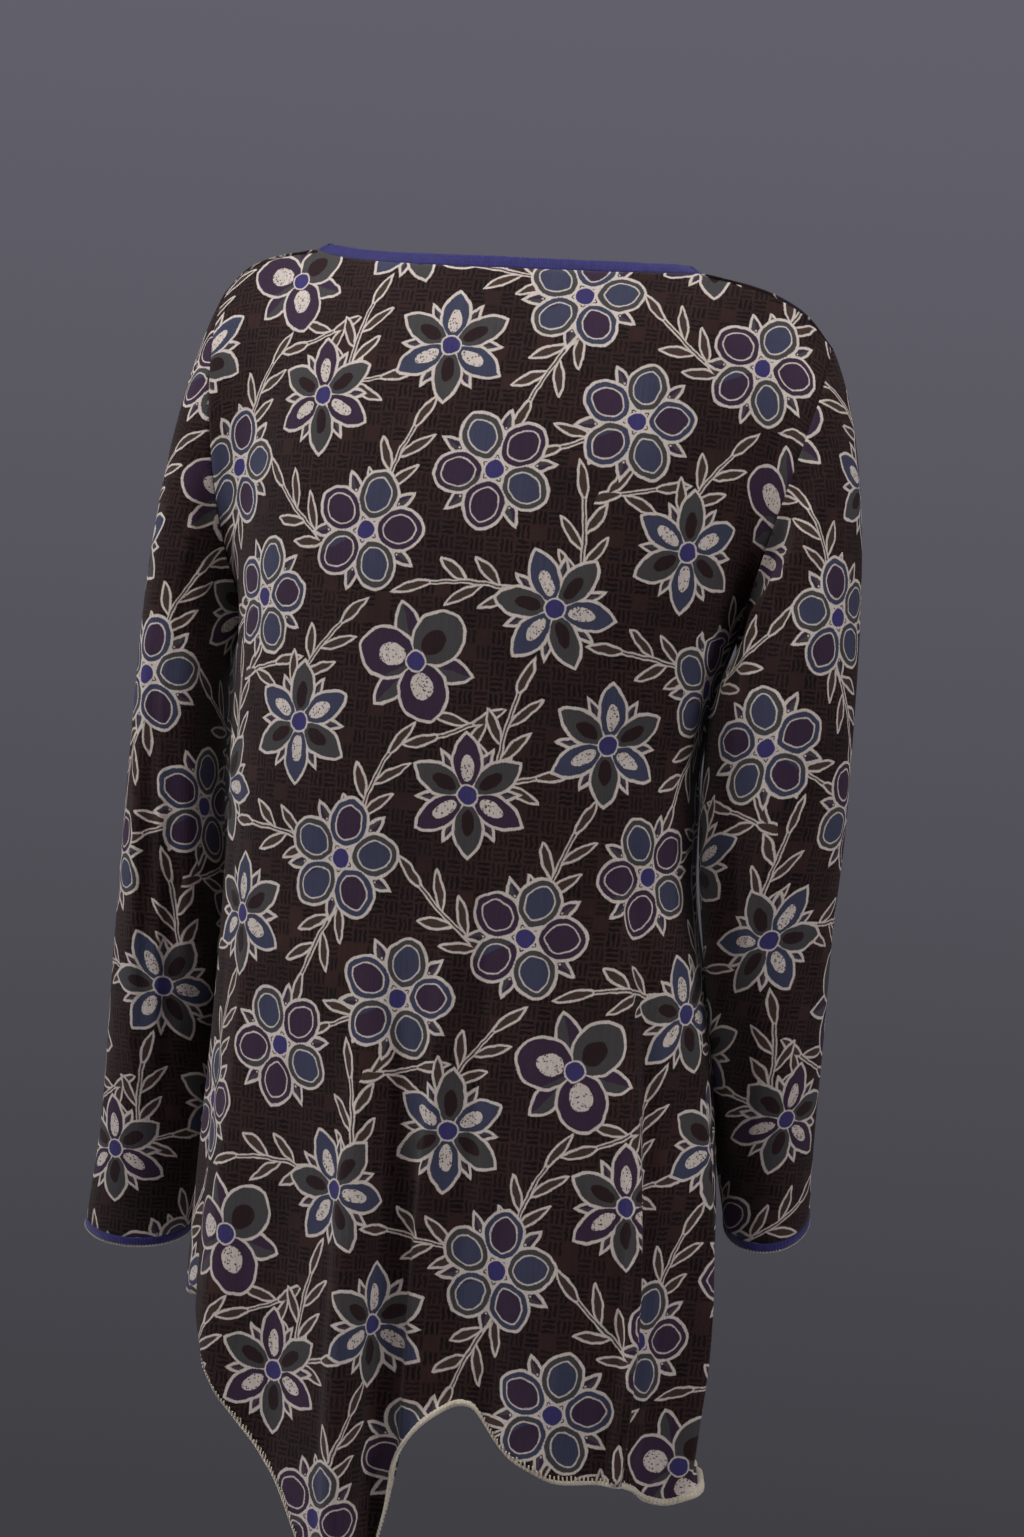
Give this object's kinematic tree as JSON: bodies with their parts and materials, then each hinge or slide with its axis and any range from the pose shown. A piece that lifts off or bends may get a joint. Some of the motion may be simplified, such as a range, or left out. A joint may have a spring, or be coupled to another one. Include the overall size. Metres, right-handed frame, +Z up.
{
  "type": "long cardigan",
  "caption": "Long open-front knitted cardigan, hollow in its worn form, with a wide neck, long sleeves, bound edges and a wavy pointed hem.",
  "frame": {"origin": "middle of the neck opening, level with the two neck points that rest on the wearer's shoulders", "axes": "+Z up, -Y the way the wearer faces, +X towards the wearer's left side"},
  "size_m": [0.5539, 0.2528, 0.9602],
  "materials": {
    "patterned_knit": "matt fine-gauge knit, dark brown with a floral pattern",
    "violet_rib": "matt fine rib, violet"
  },
  "bodies": {
    "root": {"back": "patterned_knit", "front_left": "patterned_knit", "front_right": "patterned_knit", "sleeve_left": "patterned_knit", "sleeve_right": "patterned_knit", "neck_band": "violet_rib", "front_band_left": "violet_rib", "front_band_right": "violet_rib", "cuff_band_left": "violet_rib", "cuff_band_right": "violet_rib"}
  },
  "joints": []
}
